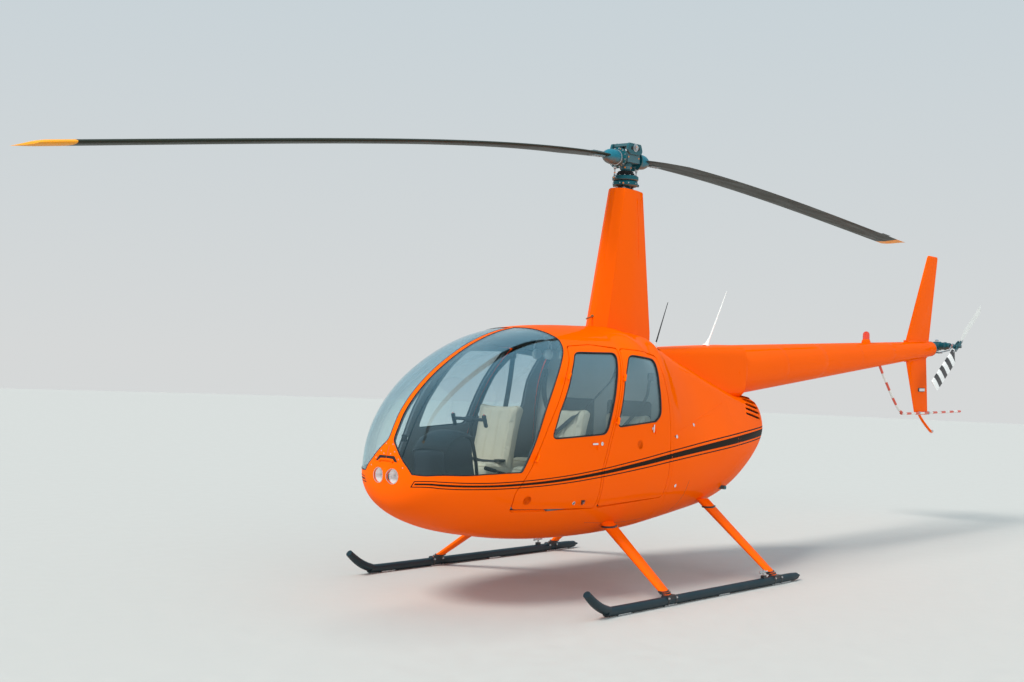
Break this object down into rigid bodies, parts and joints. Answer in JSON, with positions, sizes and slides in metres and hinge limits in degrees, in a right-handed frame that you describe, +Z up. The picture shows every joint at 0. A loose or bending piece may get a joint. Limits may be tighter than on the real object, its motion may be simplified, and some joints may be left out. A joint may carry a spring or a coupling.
{
  "type": "light helicopter",
  "caption": "Four-seat light helicopter on skids, with a teetering main rotor on a tall faired mast and a tail rotor.",
  "frame": {"origin": "on the ground, under the middle of the whole length from the forward blade tip to the tail guard", "axes": "+X forward, +Y to port, +Z up"},
  "size_m": [11.4888, 2.212, 3.2771],
  "materials": {
    "orange_paint": "gloss",
    "skid_paint": "satin",
    "head_metal": "satin",
    "blade_paint": "satin",
    "black_plastic": "matte",
    "bare_metal": "satin",
    "white_paint": "gloss",
    "red_plastic": "gloss",
    "leather": "satin",
    "carpet": "matte",
    "glazing": "gloss"
  },
  "bodies": {
    "airframe": {"cabin_shell": "orange_paint", "windshield_left": "glazing", "windshield_right": "glazing", "landing_light_left": "bare_metal", "landing_light_right": "bare_metal", "engine_cowl": "orange_paint", "tail_cowl": "orange_paint", "tail_boom": "orange_paint", "boom_root_fairing": "orange_paint", "mast_fairing": "orange_paint", "pitot_tube": "bare_metal", "mast_tube": "head_metal", "swashplate_fixed": "head_metal", "fin_upper": "orange_paint", "fin_lower": "orange_paint", "stabilizer": "orange_paint", "tail_gearbox": "head_metal", "tail_guard": "red_plastic", "tail_skid": "orange_paint", "beacon": "red_plastic", "antenna_tall": "white_paint", "antenna_short": "black_plastic", "skid_left": "skid_paint", "skid_right": "skid_paint", "leg_front_left": "orange_paint", "leg_front_right": "orange_paint", "leg_back_left": "orange_paint", "leg_back_right": "orange_paint", "engine_block": "bare_metal", "cabin_floor": "carpet", "instrument_console": "black_plastic", "cyclic_tbar": "head_metal", "seat_front_left": "leather", "seat_front_right": "leather", "seat_rear_left": "leather", "seat_rear_right": "leather"},
    "main_rotor": {"swashplate_rotating": "head_metal", "rotor_shaft": "head_metal", "rotor_hub": "head_metal", "pitch_housing_1": "head_metal", "pitch_housing_2": "head_metal", "rotor_blade_1": "blade_paint", "rotor_blade_2": "blade_paint", "pitch_link_1": "bare_metal", "pitch_link_2": "bare_metal"},
    "tail_rotor": {"tail_rotor_hub": "head_metal", "tail_rotor_blade_1": "white_paint", "tail_rotor_blade_2": "white_paint"},
    "front_left_door": {"door_front_left": "orange_paint", "window_front_left": "glazing"},
    "front_right_door": {"door_front_right": "orange_paint", "window_front_right": "glazing"},
    "rear_left_door": {"door_rear_left": "orange_paint", "window_rear_left": "glazing"},
    "rear_right_door": {"door_rear_right": "orange_paint", "window_rear_right": "glazing"}
  },
  "joints": [
    {"name": "rotor_spin", "type": "hinge", "parent": "airframe", "child": "main_rotor", "pos_m": [0.7555, 0, 3.15], "axis": [0, 0, 1], "continuous": true},
    {"name": "tail_rotor_spin", "type": "hinge", "parent": "airframe", "child": "tail_rotor", "pos_m": [-5.0915, 0.225, 1.927], "axis": [0, 1, 0], "continuous": true},
    {"name": "front_left_door_hinge", "type": "hinge", "parent": "airframe", "child": "front_left_door", "pos_m": [2.4345, 0.622, 0.959], "axis": [0.5073, 0.0261, -0.8613], "range_deg": [0, 80]},
    {"name": "front_right_door_hinge", "type": "hinge", "parent": "airframe", "child": "front_right_door", "pos_m": [2.4345, -0.622, 0.959], "axis": [-0.5073, 0.0261, 0.8613], "range_deg": [0, 80]},
    {"name": "rear_left_door_hinge", "type": "hinge", "parent": "airframe", "child": "rear_left_door", "pos_m": [1.6535, 0.674, 1.196], "axis": [0.3981, 0.1592, -0.9034], "range_deg": [0, 80]},
    {"name": "rear_right_door_hinge", "type": "hinge", "parent": "airframe", "child": "rear_right_door", "pos_m": [1.6535, -0.674, 1.196], "axis": [-0.3981, 0.1592, 0.9034], "range_deg": [0, 80]}
  ],
  "couplings": [
    {"joint": "tail_rotor_spin", "follows": "rotor_spin", "ratio": -5.9495}
  ]
}
